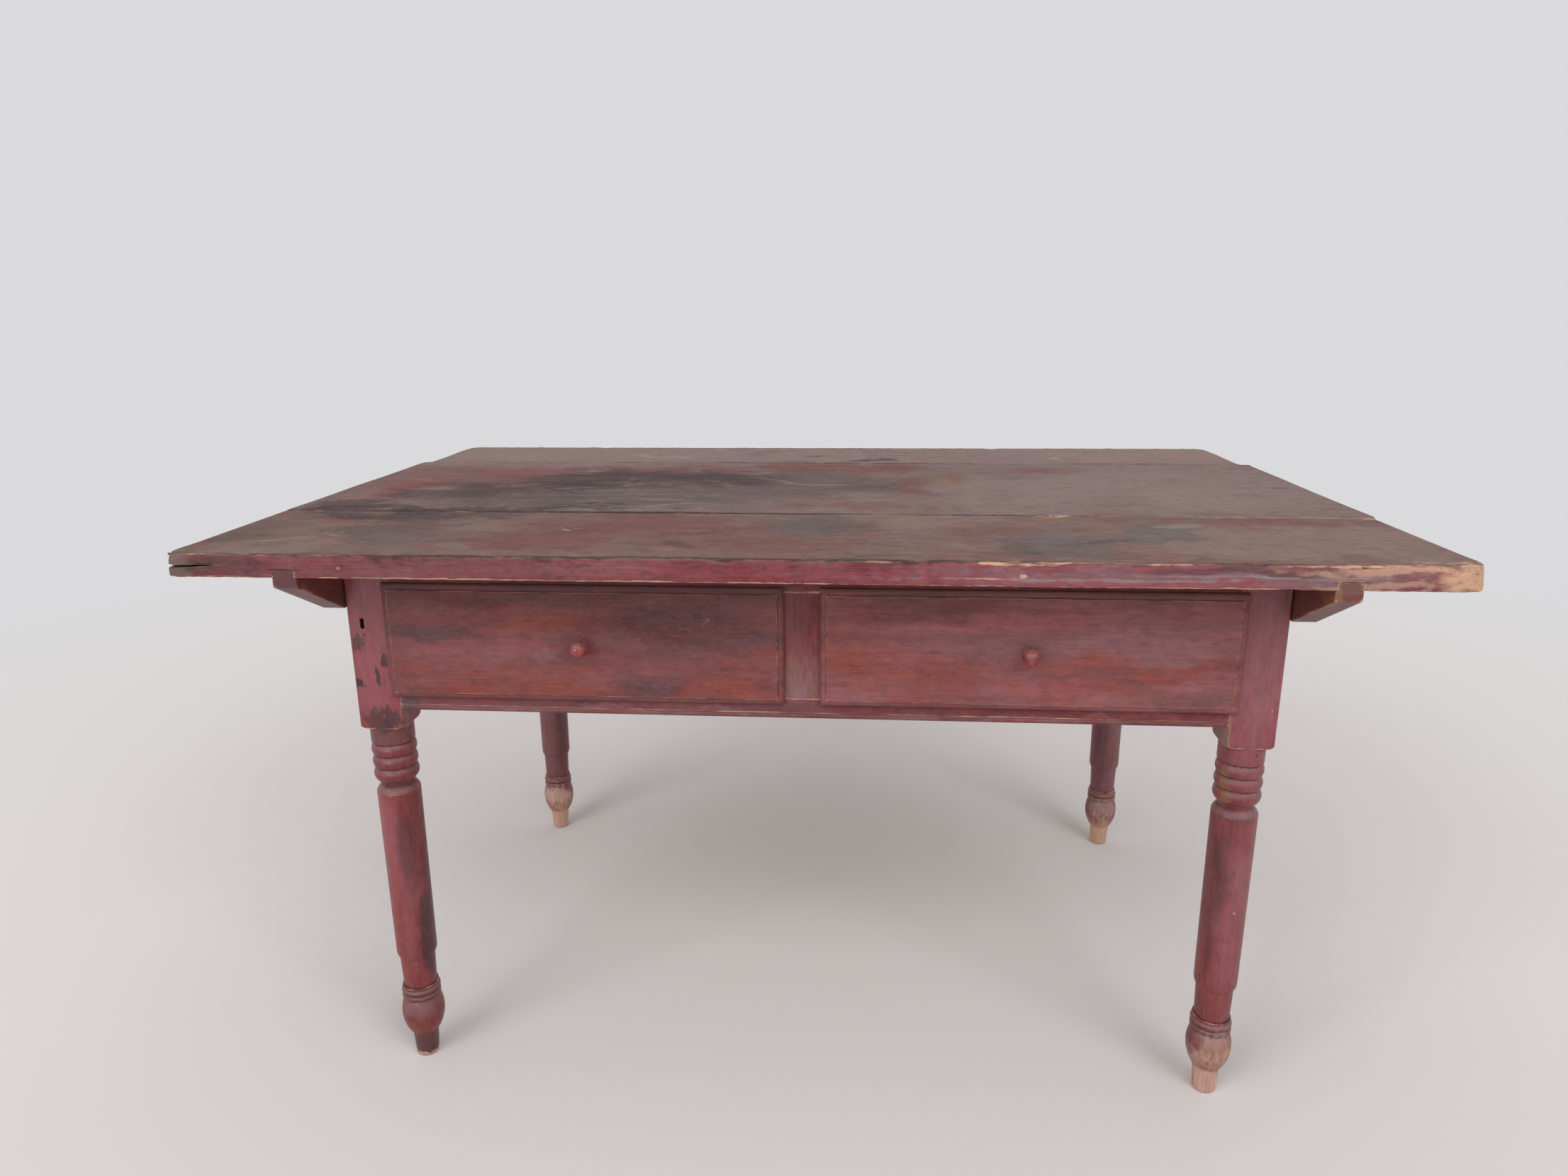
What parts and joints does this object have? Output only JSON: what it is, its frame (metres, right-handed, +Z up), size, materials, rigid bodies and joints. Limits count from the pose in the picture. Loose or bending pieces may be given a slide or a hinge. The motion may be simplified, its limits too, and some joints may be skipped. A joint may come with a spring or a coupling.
{
  "type": "farm table",
  "caption": "Country farm table with a board top on dovetailed battens, turned legs and lipped drawers that slide out of the front.",
  "frame": {"origin": "on the floor under the middle of the top", "axes": "+X to the right along the table, +Y from the drawer fronts to the back, +Z up"},
  "size_m": [1.4, 0.9, 0.73],
  "materials": {
    "worn_brown_top": "worn satin paint, rubbed brown-grey with red and dark stains",
    "old_red_paint": "old satin red paint with worn arrises",
    "streaked_red_paint": "old satin red paint, streaked darker along the grain",
    "bare_aged_pine": "bare aged softwood"
  },
  "bodies": {
    "table": {"back_apron": "old_red_paint", "back_apron_pegs": "old_red_paint", "batten_left": "old_red_paint", "batten_pins": "old_red_paint", "batten_right": "old_red_paint", "centre_stile": "old_red_paint", "end_apron_left": "old_red_paint", "end_apron_pegs": "old_red_paint", "end_apron_right": "old_red_paint", "front_bottom_rail": "old_red_paint", "front_top_rail": "old_red_paint", "guide_centre": "bare_aged_pine", "guide_left": "bare_aged_pine", "guide_right": "bare_aged_pine", "kicker_centre": "bare_aged_pine", "kicker_left": "bare_aged_pine", "kicker_right": "bare_aged_pine", "leg_front_left": "old_red_paint", "leg_front_right": "old_red_paint", "leg_rear_left": "old_red_paint", "leg_rear_right": "old_red_paint", "runner_centre": "bare_aged_pine", "runner_left": "bare_aged_pine", "runner_right": "bare_aged_pine", "top_board_back": "worn_brown_top", "top_board_front": "worn_brown_top", "top_board_middle": "worn_brown_top"},
    "left_drawer": {"left_drawer_front": "streaked_red_paint", "left_drawer_inner_side": "bare_aged_pine", "left_drawer_outer_side": "bare_aged_pine", "left_drawer_back": "bare_aged_pine", "left_drawer_bottom": "bare_aged_pine", "left_drawer_knob": "streaked_red_paint"},
    "right_drawer": {"right_drawer_front": "streaked_red_paint", "right_drawer_inner_side": "bare_aged_pine", "right_drawer_outer_side": "bare_aged_pine", "right_drawer_back": "bare_aged_pine", "right_drawer_bottom": "bare_aged_pine", "right_drawer_knob": "streaked_red_paint"}
  },
  "joints": [
    {"name": "left_drawer_slide", "type": "slide", "parent": "table", "child": "left_drawer", "axis": [0, -1, 0], "range_m": [0, 0.38]},
    {"name": "right_drawer_slide", "type": "slide", "parent": "table", "child": "right_drawer", "axis": [0, -1, 0], "range_m": [0, 0.38]}
  ]
}
